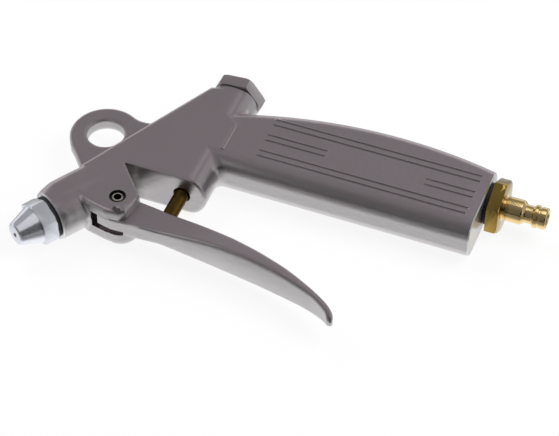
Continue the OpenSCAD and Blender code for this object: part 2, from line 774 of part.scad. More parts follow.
module inlet_seal_ring() {
    color(rubber_colour) from_pivot() on_inlet_axis(grip_end + touch_gap)
        tube(plug_af - over, plug_neck_in_d + 2 * screw_clear, plug_ring_h - 2 * touch_gap);
}

body_casting();
trigger_lever();
pivot_pin();
nozzle();
nozzle_seal_ring();
valve_cap();
cap_seal_ring();
valve_spring();
spring_seat();
disc_seal();
valve_stem();
stem_seal_ring();
lower_guide_bush();
upper_guide_bush();
inlet_plug();
inlet_seal_ring();
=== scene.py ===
"""Pneumatic air duster, lying on its side on a white table.

Sizes are in millimetres from the lever's pivot, x along the grip, y along the valve, z across
the flat sides, and every mesh is moved to the frame's metres when it is made.
"""
import math

import bmesh
import bpy
import numpy as np
from mathutils import Matrix, Vector


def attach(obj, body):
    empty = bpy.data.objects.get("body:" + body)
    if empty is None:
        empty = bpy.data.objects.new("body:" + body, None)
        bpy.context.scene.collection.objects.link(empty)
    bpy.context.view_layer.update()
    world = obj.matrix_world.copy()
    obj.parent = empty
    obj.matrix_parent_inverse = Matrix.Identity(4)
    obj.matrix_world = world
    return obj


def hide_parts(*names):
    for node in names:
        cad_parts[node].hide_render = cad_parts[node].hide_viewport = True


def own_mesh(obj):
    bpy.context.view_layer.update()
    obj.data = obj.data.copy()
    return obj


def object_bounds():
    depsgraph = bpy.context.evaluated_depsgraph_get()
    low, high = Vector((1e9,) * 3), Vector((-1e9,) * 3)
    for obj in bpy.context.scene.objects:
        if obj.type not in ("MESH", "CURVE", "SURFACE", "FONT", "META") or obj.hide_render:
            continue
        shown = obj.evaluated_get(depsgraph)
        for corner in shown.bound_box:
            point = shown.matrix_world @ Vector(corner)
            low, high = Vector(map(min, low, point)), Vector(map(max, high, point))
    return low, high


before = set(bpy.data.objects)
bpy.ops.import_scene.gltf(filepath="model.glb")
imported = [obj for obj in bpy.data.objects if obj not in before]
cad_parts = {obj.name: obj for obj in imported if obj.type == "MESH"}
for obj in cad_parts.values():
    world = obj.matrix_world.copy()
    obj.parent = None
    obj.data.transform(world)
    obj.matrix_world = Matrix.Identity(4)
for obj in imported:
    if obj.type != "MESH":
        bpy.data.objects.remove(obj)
cad_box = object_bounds()

# THE VIEWPOINT
# A long lens, about three quarters of a metre away and 47 degrees above the table, looks at the
# middle of the tool. It is turned 21 degrees from square with the grip.
VIEW_DISTANCE = 770.0
VIEW_TILT = math.radians(47.0)
VIEW_TURN = math.radians(21.4)
VIEW_LENS = 149.4
VIEW_MIDDLE = Vector((50.69, 17.21, 0.0))
PIVOT = Vector((-122.3, -49.0, 0.0))


def to_frame(point):
    """A point in millimetres from the pivot, as the frame's metres."""
    return (Vector(point) + PIVOT) / 1000.0


across = Vector((math.cos(VIEW_TURN), math.sin(VIEW_TURN), 0.0))
away = Vector((-math.sin(VIEW_TURN), math.cos(VIEW_TURN), 0.0))
ahead = away * math.cos(VIEW_TILT) - Vector((0, 0, 1)) * math.sin(VIEW_TILT)
upright = away * math.sin(VIEW_TILT) + Vector((0, 0, 1)) * math.cos(VIEW_TILT)
lens = bpy.data.cameras.new("long_lens")
lens.lens = VIEW_LENS
lens.sensor_width = 36.0
lens.clip_start = 0.01
viewpoint = bpy.data.objects.new("viewpoint", lens)
viewpoint.matrix_world = Matrix.Translation(to_frame(VIEW_MIDDLE - ahead * VIEW_DISTANCE)) @ Matrix(
    (across, upright, -ahead)).transposed().to_4x4()
bpy.context.scene.collection.objects.link(viewpoint)
bpy.context.scene.camera = viewpoint


# THE CAST BODY
# One aluminium die casting: barrel, two ears, hanging eye, valve boss and grip, with soft
# fillets where they meet. It is worked out as a distance field and skinned on a fine grid, then
# its machined faces, bores and grooves are cut. A warm grey satin coat covers it.
def outline(x, y, corners):
    """Signed distance to a closed polygon in the flat plane."""
    nearest = np.full(np.broadcast(x, y).shape, 1e9)
    inside = np.zeros(nearest.shape, bool)
    for (ax, ay), (bx, by) in zip(corners, corners[1:] + corners[:1]):
        ex, ey, wx, wy = bx - ax, by - ay, x - ax, y - ay
        t = np.clip((wx * ex + wy * ey) / (ex * ex + ey * ey), 0, 1)
        nearest = np.minimum(nearest, (wx - ex * t) ** 2 + (wy - ey * t) ** 2)
        crosses = (y >= ay) != (y >= by)
        side = ex * wy > ey * wx
        inside ^= crosses & (side == (by > ay))
    return np.where(inside, -1.0, 1.0) * np.sqrt(nearest)


def rounded_max(a, b, edge):
    """Where two faces meet outwards, with an edge radius."""
    return (np.minimum(np.maximum(a + edge, b + edge), 0)
            + np.hypot(np.maximum(a + edge, 0), np.maximum(b + edge, 0)) - edge)


def fillet(a, b, reach):
    """Where two walls meet inwards, with a cast fillet."""
    near = np.maximum(reach - np.abs(a - b), 0) / reach
    return np.minimum(a, b) - near * near * reach / 4


def hollow(a, b, reach):
    """Takes b out of a, with a soft edge."""
    return -fillet(-a, b, reach)


def ease(low, high, value):
    """0 before low, 1 after high, and a soft rise between them."""
    t = np.clip((value - low) / (high - low), 0, 1)
    return t * t * (3 - 2 * t)


def heading(degrees):
    """A direction in the flat plane."""
    return np.array([math.cos(math.radians(degrees)), math.sin(math.radians(degrees))])


BARREL, BARREL_SIDE = heading(58.5), heading(58.5 - 90)
TOP_EDGE, TOP_OUT = heading(62.5), heading(62.5 + 90)
BARREL_LEAD, BARREL_OFF, TOP_OFF = 19.2, 12.3, 20.3
HALF_THICK, EAR_ROUND = 8.0, 1.0
VALVE_X, NOTCH_Y, VALVE_TOP = 16.3, 15.2, 61.6
CAP_FACE = VALVE_TOP + 0.8
GRIP_END, GRIP_FRONT, GRIP_BACK, ARCH = 112.5, 27.6, 63.1, 165.0
GRIP_PEAK, GRIP_HALF, GRIP_ROUND = 60.7, 7.8, 5.6
END_FACE, INLET_Y = GRIP_END + 0.5, 49


def on_barrel(back, beside):
    return BARREL * (back - BARREL_LEAD) + BARREL_SIDE * (beside - BARREL_OFF)


def on_top_edge(along, out):
    return TOP_EDGE * along + TOP_OUT * (TOP_OFF + out)


def above_top(x, y):
    """How far a point lies outside the body's top edge."""
    return x * TOP_OUT[0] + y * TOP_OUT[1] - TOP_OFF


EYE = on_top_edge(18.6, 10.1)
EYE_R, EYE_HOLE_R, EYE_HALF = 12.4, 6.4, 2.5


def plate(x, y, z):
    """The flat middle of the body and its ears. The near ear has a slight draft, and the far ear
    has a round tip."""
    corner = 1.2
    wedge = outline(x, y, [tuple(p) for p in (
        on_top_edge(1, -corner), on_top_edge(56.8, -corner), (15.1, 60.4),
        (15.1, NOTCH_Y + corner), (-8.0, NOTCH_Y + corner), (-9.5, 8.0))]) - corner
    rear = [(-5.9, 15.6), (5.4, 2.9)]
    front = [(-8.9, -4.6), tuple(on_barrel(9.8, -3)), tuple(on_barrel(18, -4)), (-8.0, 20.0)]
    near_ear = outline(x, y, rear + [(4.1, -4.3), (2.5, -5.7), (-1.4, -6.1)] + front)
    near_ear -= EAR_ROUND + 0.06 * (HALF_THICK - z)
    far_ear = outline(x, y, rear + [(4.4, -5.4), (-1.4, -6.2)] + front) - EAR_ROUND
    far_ear = np.minimum(far_ear, np.hypot(x - 1.2, y + 1.2) - 6.2)
    ears = np.where(z > 0, near_ear, far_ear)
    flat = fillet(wedge, ears, 0.6)
    edge = 0.55 + 1.5 * ease(-6, -1, above_top(x, y)) + 1.1 * ease(4, -3, y)
    return rounded_max(flat, np.abs(z) - HALF_THICK, edge)


def front_boss(x, y, z):
    """Round where the nozzle sits. Towards the body it gets squarer on the eye's side."""
    start = on_barrel(0, 0)
    s = (x - start[0]) * BARREL[0] + (y - start[1]) * BARREL[1]
    q = (x - start[0]) * BARREL_SIDE[0] + (y - start[1]) * BARREL_SIDE[1]
    half = np.interp(s, [0, 2, 6, 12, 20, 28], [8.5, 8.7, 8.75, 8.5, 8.0, 7.4])
    square = np.interp(s, [0, 2, 5, 16, 26], [8.5, 7.4, 5.7, 4.1, 2.4])
    corner = half + (np.minimum(square, half) - half) * ease(3, -3, q)
    corner = np.minimum(corner, half)
    section = rounded_max(np.abs(q) - half, np.abs(z) - half, corner)
    return np.maximum(section, np.maximum(-s - 1.5, s - 27))


def valve_boss(x, y, z):
    """The round tower over the notch, with the body's flats on its two sides."""
    wall = np.hypot(x - VALVE_X, z) - 8.65
    wall = rounded_max(wall, np.abs(z) - HALF_THICK, 0.9)
    return np.maximum(rounded_max(wall, NOTCH_Y - y, 0.7), y - VALVE_TOP - 1.5)


def grip(x, y, z):
    """A straight front, an arched back, and large roundings all along."""
    arch = np.hypot(x - (VALVE_X + GRIP_PEAK), y - (GRIP_BACK - ARCH)) - ARCH
    band = rounded_max(arch, GRIP_FRONT - y, GRIP_ROUND)
    section = rounded_max(band, np.abs(z) - GRIP_HALF, GRIP_ROUND)
    return np.maximum(section, np.maximum(x - END_FACE - 1.2, VALVE_X - x))


def eye(x, y, z):
    """The ring that the tool hangs by, and the foot that it stands on."""
    from_middle = np.hypot(x - EYE[0], y - EYE[1])
    disc = from_middle - EYE_R
    along = x * TOP_EDGE[0] + y * TOP_EDGE[1]
    foot = outline(x, y, [tuple(p) for p in (on_top_edge(0.3, -2), on_top_edge(6.9, 14.2),
        on_top_edge(27.6, 17.0), on_top_edge(33.4, 2.5), on_top_edge(34.5, -2))])
    inside = np.maximum(np.abs(above_top(x, y) + 5) - 5, np.abs(along - 19) - 22)
    flat = fillet(fillet(disc, foot, 1.0), inside, 3.0 + 5.0 * ease(20, 28, along))
    ring = rounded_max(flat, np.abs(z) - EYE_HALF, 1.2)
    return hollow(ring, from_middle - EYE_HOLE_R, 1.1)


def casting(x, y, z):
    """The whole casting, with the flat pad between notch and grip and the dimple in the ear."""
    front = fillet(plate(x, y, z), front_boss(x, y, z), 0.7)
    pad = rounded_max(outline(x, y, [(14, 32.8), (23.4, 32.8), (23.4, 45.6), (14, 52)]) - 0.4,
        np.abs(z) - HALF_THICK, 0.35)
    body = np.minimum(np.minimum(front, valve_boss(x, y, z)), pad)
    body = fillet(body, grip(x, y, z), 0.35 + 3.2 * ease(7.5, 4.5, np.abs(z)))
    body = fillet(body, eye(x, y, z), 2.2)
    dimple = (np.sqrt(((x - 1.9) / 1.5) ** 2 + (y + 5.3) ** 2 + (z - 7.95) ** 2) - 0.95) * 0.9
    return hollow(body, dimple, 0.2)


def cast_skin(name, distance, lows, highs, step):
    """Skins a distance field: one corner for each cell of the grid that the surface passes,
    moved onto the surface, and a quad round each crossed grid line."""
    grid = np.meshgrid(*[np.arange(lo, hi + step, step) for lo, hi in zip(lows, highs)],
        indexing="ij")
    field = distance(*grid)
    solid = field < 0
    cells = tuple(n - 1 for n in field.shape)
    total, count = np.zeros(cells + (3,)), np.zeros(cells)
    corners = [(i, j, k) for i in (0, 1) for j in (0, 1) for k in (0, 1)]

    def shifted(values, corner):
        return values[tuple(slice(o, o + n) for o, n in zip(corner, cells))]

    # The corner is the mean of the places where the cell's twelve edges pass the surface.
    for a in corners:
        for axis in range(3):
            if a[axis]:
                continue
            b = tuple(1 if i == axis else v for i, v in enumerate(a))
            fa, fb = shifted(field, a), shifted(field, b)
            crossed = (fa < 0) != (fb < 0)
            part = np.where(crossed, fa / np.where(crossed, fa - fb, 1), 0)
            for i in range(3):
                total[..., i] += np.where(crossed, a[i] + (part if i == axis else 0), 0)
            count += crossed
    used = count > 0
    number = np.full(cells, -1)
    number[used] = np.arange(used.sum())
    base = np.stack(np.nonzero(used), 1)
    points = np.array(lows) + step * (base + total[used] / count[used][:, None])
    quads = []
    # The quad joins the four cells round a grid line, and turns to face outwards.
    for axis in range(3):
        u, v = [(1, 2), (2, 0), (0, 1)][axis]
        first = [slice(1, n - 1) for n in field.shape]
        first[axis] = slice(0, cells[axis])
        second = list(first)
        second[axis] = slice(1, cells[axis] + 1)
        near, far = solid[tuple(first)], solid[tuple(second)]
        where = np.stack(np.nonzero(near != far), 1)
        flips = far[tuple(where.T)]
        at = where + np.array([0 if i == axis else 1 for i in range(3)])
        ring = []
        for du, dv in ((-1, -1), (0, -1), (0, 0), (-1, 0)):
            cell = at.copy()
            cell[:, u] += du
            cell[:, v] += dv
            ring.append(number[tuple(cell.T)])
        ring = np.stack(ring, 1)
        ring[flips] = ring[flips][:, ::-1]
        quads.append(ring)
    quads = np.concatenate(quads)
    # The corners move down the slope of the field, onto its zero.
    probe, least_slope, rounds = 0.04, 0.25, 5
    for _ in range(rounds):
        here = distance(*points.T)
        slope = np.stack([(distance(*(points + d).T) - distance(*(points - d).T)) / (2 * probe)
            for d in np.eye(3) * probe], 1)
        size = np.maximum((slope ** 2).sum(1), least_slope)
        points -= np.clip(here / size, -step / 2, step / 2)[:, None] * slope
    return build_mesh(name, points, quads.tolist())


def build_mesh(name, points, faces):
    """A mesh from points in millimetres from the pivot."""
    mesh = bpy.data.meshes.new(name)
    mesh.from_pydata((np.asarray(points) + np.array(PIVOT)) / 1000.0, [], faces)
    mesh.update()
    piece = bpy.data.objects.new(name, mesh)
    bpy.context.scene.collection.objects.link(piece)
    return piece


# A smaller radius than this lies on the axis.
ON_AXIS = 1e-6


def lathe(name, profile, centre, axis, steps=96):
    """Turns a closed profile of [along, radius] about an axis through a point."""
    axis = Vector(axis).normalized()
    side = axis.orthogonal().normalized()
    other = axis.cross(side)
    rows = []
    for along, radius in profile:
        if radius < ON_AXIS:
            rows.append([Vector(centre) + axis * along])
        else:
            rows.append([Vector(centre) + axis * along + (side * math.cos(a) + other * math.sin(a))
                * radius for a in (2 * math.pi * k / steps for k in range(steps))])
    points, starts = [], []
    for row in rows:
        starts.append(len(points))
        points += row
    faces = []
    for i in range(len(rows)):
        j = (i + 1) % len(rows)
        for k in range(steps):
            n = (k + 1) % steps
            around = [starts[row] + (turn if len(rows[row]) > 1 else 0)
                for row, turn in ((i, k), (i, n), (j, n), (j, k))]
            face = list(dict.fromkeys(around))
            if len(face) > 2:
                faces.append(face)
    piece = build_mesh(name, [tuple(p) for p in points], faces)
    face_outwards(piece)
    return piece


def face_outwards(piece):
    """Merges doubled points and turns every face outwards."""
    shape = bmesh.new()
    shape.from_mesh(piece.data)
    bmesh.ops.remove_doubles(shape, verts=shape.verts, dist=1e-8)
    bmesh.ops.recalc_face_normals(shape, faces=shape.faces)
    shape.to_mesh(piece.data)
    shape.free()


def keep_result(piece, modifier):
    """Makes what a modifier shows the piece's own mesh."""
    shown = bpy.context.evaluated_depsgraph_get()
    shape = bpy.data.meshes.new_from_object(piece.evaluated_get(shown))
    piece.modifiers.remove(modifier)
    piece.data = shape


def machine(piece, cutters, operation="DIFFERENCE"):
    """Cuts a piece with other solids, or joins them to it. The other solids are used up."""
    for cutter in cutters:
        modifier = piece.modifiers.new("cut", "BOOLEAN")
        modifier.operation = operation
        modifier.solver = "MANIFOLD"
        modifier.object = cutter
        keep_result(piece, modifier)
        bpy.data.objects.remove(cutter)


def soften(piece, angle):
    """Smooth shading, with creases kept where faces meet at more than the angle."""
    piece.data.shade_smooth()
    piece.data.set_sharp_from_angle(angle=math.radians(angle))


def bar(name, corners, start, end, centre, axis, side):
    """A straight bar with a closed outline, from start to end along an axis."""
    axis, side = Vector(axis).normalized(), Vector(side).normalized()
    other = axis.cross(side)
    points = [Vector(centre) + axis * along + side * p + other * q
        for along in (start, end) for p, q in corners]
    n = len(corners)
    faces = [[k, (k + 1) % n, n + (k + 1) % n, n + k] for k in range(n)]
    faces += [list(range(n)), list(range(n, 2 * n))]
    piece = build_mesh(name, points, faces)
    face_outwards(piece)
    return piece


def end_bevel(size):
    """A ring with a three-cornered section that breaks the sharp edge of the grip's end face."""
    top = GRIP_BACK - ARCH + math.sqrt(ARCH ** 2 - (END_FACE - VALVE_X - GRIP_PEAK) ** 2)
    low, high, beside = GRIP_FRONT + GRIP_ROUND, top - GRIP_ROUND, GRIP_HALF - GRIP_ROUND
    rings = []
    for x, inset in ((1, 1 + size), (-3, size - 3), (1, size - 3)):
        radius = GRIP_ROUND - inset
        rings.append([(END_FACE + x, y + radius * math.cos(a), z + radius * math.sin(a))
            for y, z, start in ((high, beside, 0), (low, beside, 90), (low, -beside, 180),
                (high, -beside, 270))
            for a in np.radians(np.linspace(start, start + 90, 9))])
    n = len(rings[0])
    faces = [[i * n + k, i * n + (k + 1) % n, (i + 1) % 3 * n + (k + 1) % n, (i + 1) % 3 * n + k]
        for i in range(3) for k in range(n)]
    ring = build_mesh("end_bevel", sum(rings, []), faces)
    face_outwards(ring)
    return ring


body = cast_skin("cast_body", casting, (-35, -21, -10), (116, 66, 10), 0.6)
ALONG_GRIP, ALONG_VALVE, THROUGH = (1, 0, 0), (0, 1, 0), (0, 0, 1)
AT_PIVOT = (0, 0, 0)
BACKWARD, FORWARD = (BARREL[0], BARREL[1], 0), (-BARREL[0], -BARREL[1], 0)
BOSS_FACE = (*on_barrel(0, 0), 0)
VALVE_AXIS = (VALVE_X, 0, 0)


class Wire:
    """One output of a shader node, which can be added, multiplied and so on."""

    def __init__(self, finish, socket):
        self.finish, self.socket = finish, socket

    def maths(self, operation, *others):
        return self.finish.node("ShaderNodeMath", {"operation": operation}, [self, *others])

    def __add__(self, other):
        return self.maths("ADD", other)

    def __sub__(self, other):
        return self.maths("SUBTRACT", other)

    def __mul__(self, other):
        return self.maths("MULTIPLY", other)

    def __truediv__(self, other):
        return self.maths("DIVIDE", other)

    def __rsub__(self, other):
        return self.finish.node("ShaderNodeMath", {"operation": "SUBTRACT"}, [other, self])

    __radd__ = __add__
    __rmul__ = __mul__


class Finish:
    """A material or a world whose nodes are made by one method."""

    def __init__(self, owner):
        if isinstance(owner, str):
            owner = bpy.data.materials.new(owner)
            owner.use_nodes = True
        self.material = owner
        self.tree = owner.node_tree
        self.shader = self.tree.nodes.get("Principled BSDF") or self.tree.nodes["Background"]

    def node(self, kind, settings=None, values=(), output=0):
        """A node's type, its settings, its sockets' values or links, and the output to use."""
        made = self.tree.nodes.new(kind)
        for key, value in (settings or {}).items():
            setattr(made, key, value)
        pairs = values.items() if isinstance(values, dict) else enumerate(values)
        for key, value in pairs:
            self.join(value, made.inputs[key])
        return None if output is None else Wire(self, made.outputs[output])

    def join(self, value, socket):
        if isinstance(value, Wire):
            self.tree.links.new(value.socket, socket)
        elif value is not None:
            socket.default_value = value

    def set(self, **values):
        for key, value in values.items():
            self.join(value, self.shader.inputs[key.replace("_", " ")])

    def position(self):
        return self.node("ShaderNodeTexCoord", output="Object")

    def place(self, axis):
        return self.node("ShaderNodeSeparateXYZ", {}, [self.position()], axis)

    def facing(self, axis):
        """How far the surface faces along an axis, from -1 to 1."""
        normal = self.node("ShaderNodeTexCoord", output="Normal")
        return self.node("ShaderNodeSeparateXYZ", {}, [normal], axis)

    def dot(self, vector, way):
        return self.node("ShaderNodeVectorMath", {"operation": "DOT_PRODUCT"},
            {0: vector, 1: way}, "Value")

    def away_from(self, point, weights=(1, 1, 0)):
        """The distance in metres from a point, or from a line across the flat sides, with each
        direction counted by its weight."""
        weighed = self.node("ShaderNodeVectorMath", {"operation": "MULTIPLY"},
            {0: self.position(), 1: weights})
        return self.node("ShaderNodeVectorMath", {"operation": "DISTANCE"},
            {0: weighed, 1: to_frame(point) * Vector(weights)}, "Value")

    def within(self, reach, point, weights=(1, 1, 0)):
        """1 nearer than this many millimetres, and 0 further away."""
        return self.away_from(point, weights).maths("LESS_THAN", reach / 1000)

    def fade(self, value, start, end, low, high):
        """A soft change from low to high while the value goes from start to end."""
        return self.node("ShaderNodeMapRange", {"interpolation_type": "SMOOTHSTEP"},
            {"Value": value, "From Min": start, "From Max": end, "To Min": low, "To Max": high})

    def noise(self, scale, detail=2.0, roughness=0.5):
        return self.node("ShaderNodeTexNoise", {"noise_dimensions": "3D"},
            {"Vector": self.position(), "Scale": scale, "Detail": detail, "Roughness": roughness})

    def turning_marks(self, along, spacing, patches):
        """Fine rings left by the lathe, stronger in some places than in others."""
        return (along * spacing).maths("SINE") * self.noise(patches)

    def mix(self, factor, one, two):
        return self.node("ShaderNodeMix", {"data_type": "RGBA"}, {0: factor, 6: one, 7: two}, 2)

    def bump(self, height, distance):
        return self.node("ShaderNodeBump", {}, {"Height": height, "Distance": distance})


class Rule(Finish):
    """A geometry node tree, made by the same method as the materials."""

    def __init__(self, name, inputs):
        self.tree = bpy.data.node_groups.new(name, "GeometryNodeTree")
        self.tree.interface.new_socket("Geometry", in_out="INPUT", socket_type="NodeSocketGeometry")
        self.inputs = {}
        start = self.tree.nodes.new("NodeGroupInput")
        for label, kind in inputs:
            socket = self.tree.interface.new_socket(label, in_out="INPUT", socket_type=kind)
            self.inputs[label] = socket.identifier
        self.tree.interface.new_socket("Geometry", in_out="OUTPUT",
            socket_type="NodeSocketGeometry")
        self.given = {socket.name: Wire(self, socket) for socket in start.outputs}

    def make(self, piece, values):
        """Runs the tree on a piece with these inputs, and keeps the mesh."""
        modifier = piece.modifiers.new("rule", "NODES")
        modifier.node_group = self.tree
        for label, value in values.items():
            modifier[self.inputs[label]] = value
        keep_result(piece, modifier)


# A round-ended bar stands at each point: a ball whose two halves are pulled apart along the grip.
rods = Rule("groove_bars", [("Radius", "NodeSocketFloat"), ("Material", "NodeSocketMaterial")])
ball = rods.node("GeometryNodeMeshUVSphere", {}, {"Segments": 20, "Rings": 12,
    "Radius": rods.given["Radius"]})
ball_x = rods.node("ShaderNodeSeparateXYZ", {}, [rods.node("GeometryNodeInputPosition")], "X")
which_end = (ball_x * 1.0e6).maths("MAXIMUM", -1.0).maths("MINIMUM", 1.0)
ball = rods.node("GeometryNodeStoreNamedAttribute", {"data_type": "FLOAT", "domain": "POINT"},
    {0: ball, "Name": "half", "Value": which_end})
rod = rods.node("GeometryNodeInstanceOnPoints", {}, {0: rods.given["Geometry"], "Instance": ball})
rod = rods.node("GeometryNodeRealizeInstances", {}, [rod])
reach = rods.node("GeometryNodeInputNamedAttribute", {"data_type": "FLOAT"}, {"Name": "reach"})
which_end = rods.node("GeometryNodeInputNamedAttribute", {"data_type": "FLOAT"}, {"Name": "half"})
rod = rods.node("GeometryNodeSetPosition", {}, {0: rod,
    "Offset": rods.node("ShaderNodeCombineXYZ", {}, [which_end * reach, 0.0, 0.0])})
rod = rods.node("GeometryNodeSetMaterial", {}, {0: rod, "Material": rods.given["Material"]})
rods.node("NodeGroupOutput", {}, [rod], None)

# Three pairs of grooves on each side. The middle pair is short, with another pair near the end.
GROOVE_MIDDLE, GROOVE_PITCH, GROOVE_TWIN = GRIP_FRONT + 16, 7.75, 1.3
GROOVE_Z, GROOVE_R, LIP_TOP, LIP_R = 7.62, 0.45, 7.92, 1.2
FULL, FRONT_PART, REAR_PART = (35.9, 109.1), (35.9, 56.9), (92.6, 109.1)
groove_middles, lip_middles, reaches = [], [], []
for row, stretches in ((-1, (FULL,)), (0, (FRONT_PART, REAR_PART)), (1, (FULL,))):
    for twin in (-1, 1):
        for begin, end in stretches:
            for side in (-1, 1):
                x, y = (begin + end) / 2, GROOVE_MIDDLE + row * GROOVE_PITCH + twin * GROOVE_TWIN
                groove_middles.append((x, y, side * GROOVE_Z))
                lip_middles.append((x, y, side * (LIP_TOP - LIP_R)))
                reaches.append((end - begin) / 2 / 1000)


def groove_set(name, middles, radius):
    """One rod for each groove, as long as the groove is."""
    placed = build_mesh(name, middles, [])
    placed.data.attributes.new("reach", "FLOAT", "POINT").data.foreach_set("value", reaches)
    rods.make(placed, {"Radius": radius / 1000})
    return placed


# The bead and the lips on each side are raised first. Then come the cuts: the lever's slot, the
# nozzle's seat and socket, the valve's stepped bore, the end face with its bevel and its hole,
# the pin's bore with a recess in each ear, and the grooves.
BEAD_X, BEAD_FLOOR, BEAD_LOW, BEAD_HIGH = 23.7, 7.9, 32.9, 44.3
bead = [(-0.75, -0.6), (-0.75, 0), (-0.35, 0.4), (0.35, 0.4), (0.75, 0), (0.75, -0.6)]
machine(body, [bar("bead", bead, BEAD_LOW, BEAD_HIGH, (BEAD_X, 0, side * BEAD_FLOOR), ALONG_VALVE,
    (-side, 0, 0)) for side in (-1, 1)], "UNION")
machine(body, [groove_set("groove_lips", lip_middles, LIP_R)], "UNION")
SLOT_R, SLOT_FAR, SLOT_NEAR = 7.2, -2.9, 4
PIN_BORE_R, RECESS_R, RECESS_Z = 2.02, 2.7, 6.6
STEM_BORE_R, STEM_HOLE_R, CAP_BORE_R = 4.01, 3.1, 6.65
slot = [(SLOT_R * math.cos(a), SLOT_R * math.sin(a)) for a in np.radians(np.linspace(180, 148.5, 8))]
slot += [(0.87, NOTCH_Y), (34, NOTCH_Y), (34, -16), (-SLOT_R, -16)]
machine(body, [
    bar("slot_cut", slot, SLOT_FAR, SLOT_NEAR, AT_PIVOT, THROUGH, ALONG_GRIP),
    lathe("boss_cut", [(-6, 0), (0, 0), (0, 8.1), (0.35, 8.45), (0.35, 20), (-6, 20)], BOSS_FACE,
        BACKWARD),
    lathe("socket_cut", [(-2, 0), (-2, 5.95), (9.5, 5.95), (9.5, 2), (34, 2), (34, 0)], BOSS_FACE,
        BACKWARD),
    lathe("valve_cut", [(70, 0), (70, 15), (CAP_FACE - 0.4, 15),
        (CAP_FACE - 0.4, CAP_BORE_R), (48.0, CAP_BORE_R), (48.0, 3.7), (46.6, 3.7), (46.6, 4.8),
        (33.5, 4.8), (33.5, STEM_BORE_R), (18.2, STEM_BORE_R), (18.2, STEM_HOLE_R),
        (10, STEM_HOLE_R), (10, 0)], VALVE_AXIS, ALONG_VALVE),
    lathe("end_cut", [(0, 0), (0, 40), (8, 40), (8, 0)], (END_FACE, 45, 0), ALONG_GRIP),
    end_bevel(0.35),
    lathe("inlet_cut", [(-11, 0), (-11, 6.45), (2, 6.45), (2, 0)], (GRIP_END, INLET_Y, 0),
        ALONG_GRIP),
    lathe("pin_cut", [(-9, 0), (-9, 2.95), (-8, 2.8), (-RECESS_Z, RECESS_R),
        (-RECESS_Z, PIN_BORE_R), (RECESS_Z, PIN_BORE_R), (RECESS_Z, RECESS_R), (8, 2.8), (9, 2.95),
        (9, 0)], AT_PIVOT, THROUGH),
    groove_set("groove_bars", groove_middles, GROOVE_R)])
CAST_CREASE = 42
soften(body, CAST_CREASE)


def srgb(red, green, blue):
    """A colour as it looks on screen, 0 to 255, turned into the linear one."""
    return tuple(((c / 255 + 0.055) / 1.055) ** 2.4 if c > 10 else c / 255 / 12.92
        for c in (red, green, blue)) + (1.0,)


# Painted light: faces that look to the side are painted paler and cooler than the flats, and there is
# no coat on the end faces.
# Painted shade darkens the recess round the pin and the dimple in the ear; the notch's corner gets
# painted shade with patchy brown stains.
coat = Finish("warm_grey_coat")
cloud = coat.noise(60.0, 3.0)
grain = coat.noise(1400.0, 3.0, 0.6)
peel = coat.noise(520.0, 2.0, 0.5)
past_end = coat.place("X").maths("GREATER_THAN", (END_FACE - 0.36 + PIVOT[0]) / 1000)
before_face = coat.dot(coat.position(), BACKWARD).maths("LESS_THAN",
    (0.4 - BARREL_LEAD + PIVOT.dot(Vector(BACKWARD))) / 1000)
bare = past_end.maths("MAXIMUM", before_face)
# Painted shade: dark paint in the recess round the pin and, weaker, in the dimple.
pin_recess_shade = coat.within(2.82, AT_PIVOT)
dimple_shade = coat.within(0.85, (1.9, -5.35, 7.9), (0.55, 1.0, 0.2))
recess_shade = pin_recess_shade.maths("MAXIMUM", 0.75 * dimple_shade)
# Painted light: faces that look to the side get a paler, cooler paint than the flats.
sideways_light = coat.fade(coat.facing("Z").maths("ABSOLUTE"), 0.25, 0.95, 1.0, 0.0)
flat_paint = coat.mix(cloud, srgb(187, 174, 180), srgb(196, 183, 189))
side_light_paint = coat.mix(cloud, srgb(196, 193, 194), srgb(204, 201, 202))
notch_stain_and_shade, machined, painted_shade_colour = srgb(98, 92, 84), srgb(232, 232, 234), srgb(66, 58, 54)
# Painted shade with stains: the notch's roof is painted darker towards its deep corner, in patches.
notch_roof = coat.fade(coat.facing("Y"), -0.7, -0.95, 0.0, 1.0)
notch_corner_shade = coat.fade(coat.away_from((-6.0, NOTCH_Y, 0)), 0.0025, 0.0095, 1.0, 0.0)
patches = (0.45 + 0.9 * coat.noise(300.0, 4.0, 0.7)).maths("MINIMUM", 1.0)
paint = coat.mix(sideways_light, flat_paint, side_light_paint)
paint = coat.mix(notch_corner_shade * notch_roof * patches, paint, notch_stain_and_shade)
coat.set(
    Base_Color=coat.mix(recess_shade, coat.mix(bare, paint, machined), painted_shade_colour),
    Metallic=0.95,
    Roughness=0.27 + 0.08 * grain,
    Coat_Weight=0.8 * (1 - bare),
    Coat_Roughness=0.3,
    Normal=coat.bump(peel + 0.4 * grain, 0.00008))


def finish_piece(piece, finish, body_name, node):
    """Gives a piece its finish, the body that it moves with and the node that it stands for."""
    piece.data.materials.clear()
    piece.data.materials.append(finish.material)
    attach(piece, body_name)
    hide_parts(node)


finish_piece(body, coat, "gun", "body_casting")


# THE TRIGGER LEVER
# A second casting with the same coat: a hub and a web between the ears, then a curved paddle
# for the fingers. It turns on the pivot pin, and its underside is gently crowned.
SPINE = np.array([(0, -1.3), (22.0, -2.54), (37.6, -0.22), (84.56, -13.32), (82.1, -20.6)])
SPINE_T = np.linspace(0, 1, 500)
LEVER_SHIFT, HUB_R, WEB_HALF, LEVER_HIGH = 0.8, 5.6, 3.05, 11.8


def spine_at(t):
    """A smooth curve drawn by its five points."""
    points = list(SPINE)
    while len(points) > 1:
        points = [a * (1 - t) + b * t for a, b in zip(points, points[1:])]
    return points[0]


def nearest_on_spine(flat, knots, at_once=20000):
    """The number of the nearest knot, worked out for some points at a time to save memory."""
    found = np.empty(len(flat), int)
    for start in range(0, len(flat), at_once):
        chunk = flat[start:start + at_once]
        gap = ((chunk[:, None, :] - knots[None]) ** 2).sum(2)
        found[start:start + at_once] = gap.argmin(1)
    return found


